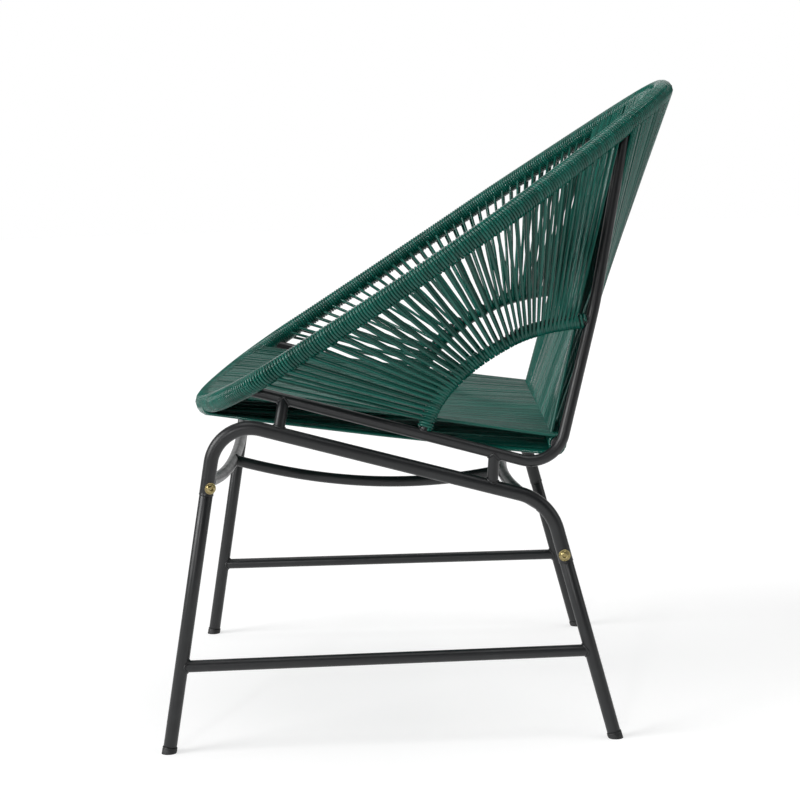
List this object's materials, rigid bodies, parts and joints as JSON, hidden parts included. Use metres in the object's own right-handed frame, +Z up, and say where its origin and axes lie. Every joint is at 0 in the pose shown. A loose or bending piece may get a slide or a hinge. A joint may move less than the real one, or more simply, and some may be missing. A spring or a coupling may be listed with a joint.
{
  "type": "woven cord lounge chair",
  "caption": "Low outdoor lounge chair: a tilted oval rim strung with round cord as seat, back and sides, on a bolted splayed tube base.",
  "frame": {"origin": "on the floor, under the middle of the chair's box", "axes": "+Z up, -X the way the sitter faces, -Y the sitter's left; the chair is symmetric about the XZ plane"},
  "size_m": [0.7306, 0.7048, 0.8746],
  "materials": {
    "cord": "extruded, soft sheen",
    "frame": "fine powder coat",
    "screw": "yellow zinc plated",
    "glide": "moulded"
  },
  "bodies": {
    "root": {"rim_hoop": "frame", "rear_cross_tube": "frame", "rim_winding_front": "cord", "rim_winding_left": "cord", "rim_winding_right": "cord", "seat_cords": "cord", "back_cords": "cord", "front_base_crossbar": "frame", "rear_base_crossbar": "frame", "centre_base_brace": "frame", "left_side_rail": "frame", "left_arch_hoop": "frame", "left_base_tube": "frame", "left_stretcher": "frame", "left_side_cords_front": "cord", "left_side_cords_middle": "cord", "left_side_cords_rear": "cord", "front_left_leg": "frame", "front_left_seat_post": "frame", "front_left_glide": "glide", "front_left_bolt": "screw", "front_left_nut": "screw", "rear_left_leg": "frame", "rear_left_seat_post": "frame", "rear_left_glide": "glide", "rear_left_bolt": "screw", "rear_left_nut": "screw", "right_side_rail": "frame", "right_arch_hoop": "frame", "right_base_tube": "frame", "right_stretcher": "frame", "right_side_cords_front": "cord", "right_side_cords_middle": "cord", "right_side_cords_rear": "cord", "front_right_leg": "frame", "front_right_seat_post": "frame", "front_right_glide": "glide", "front_right_bolt": "screw", "front_right_nut": "screw", "rear_right_leg": "frame", "rear_right_seat_post": "frame", "rear_right_glide": "glide", "rear_right_bolt": "screw", "rear_right_nut": "screw"}
  },
  "joints": []
}
